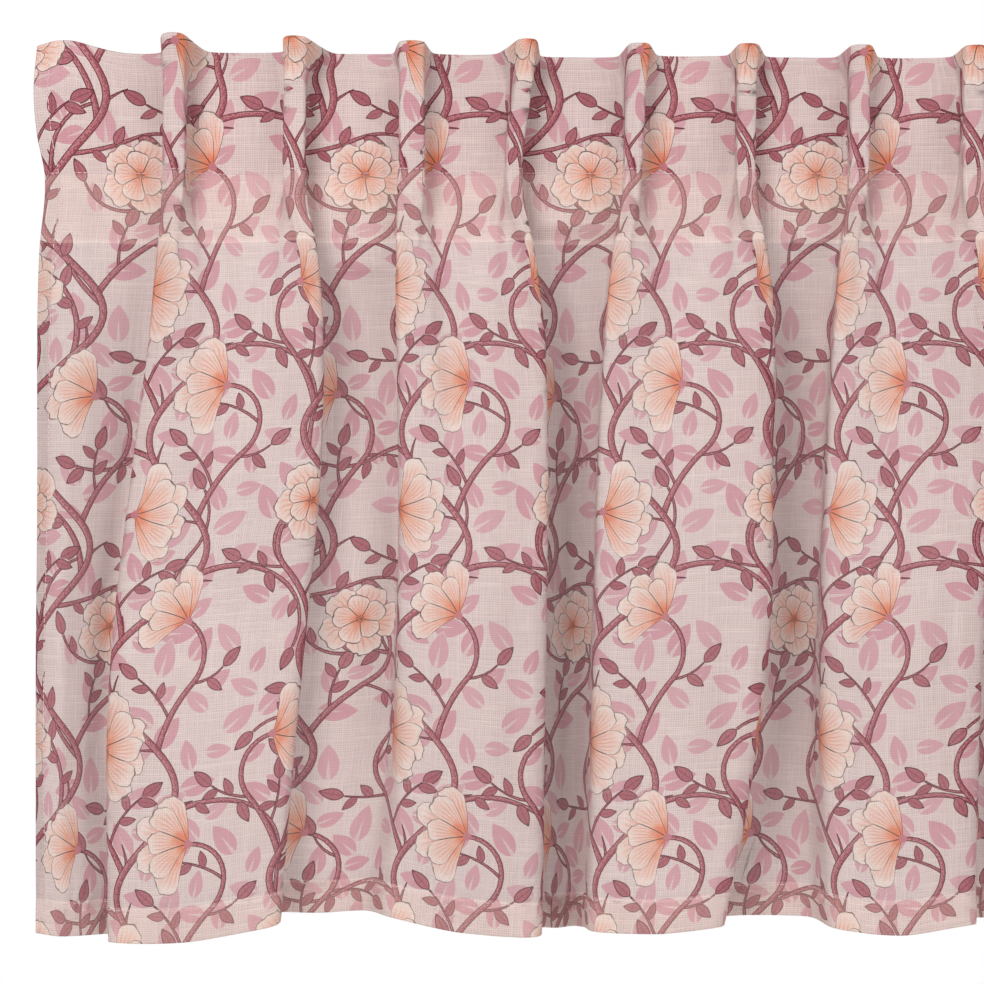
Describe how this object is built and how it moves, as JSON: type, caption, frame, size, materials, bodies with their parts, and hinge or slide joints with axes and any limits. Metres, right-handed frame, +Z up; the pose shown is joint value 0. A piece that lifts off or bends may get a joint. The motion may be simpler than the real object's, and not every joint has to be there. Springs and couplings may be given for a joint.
{
  "type": "window valance",
  "caption": "Short semi-sheer window curtain with a pleated heading, hanging in broad folds, with a trailing floral print and a turned hem.",
  "frame": {"origin": "middle of the top edge, in the plane of the flats between the pleats", "axes": "+X along the hung width, -Y out of the printed front, +Z up"},
  "size_m": [0.7393, 0.0576, 0.5084],
  "materials": {
    "printed_cloth": "semi-sheer plain-weave slub cloth, matt, printed with trailing flowers and leaves"
  },
  "bodies": {
    "root": {"valance": "printed_cloth"}
  },
  "joints": []
}
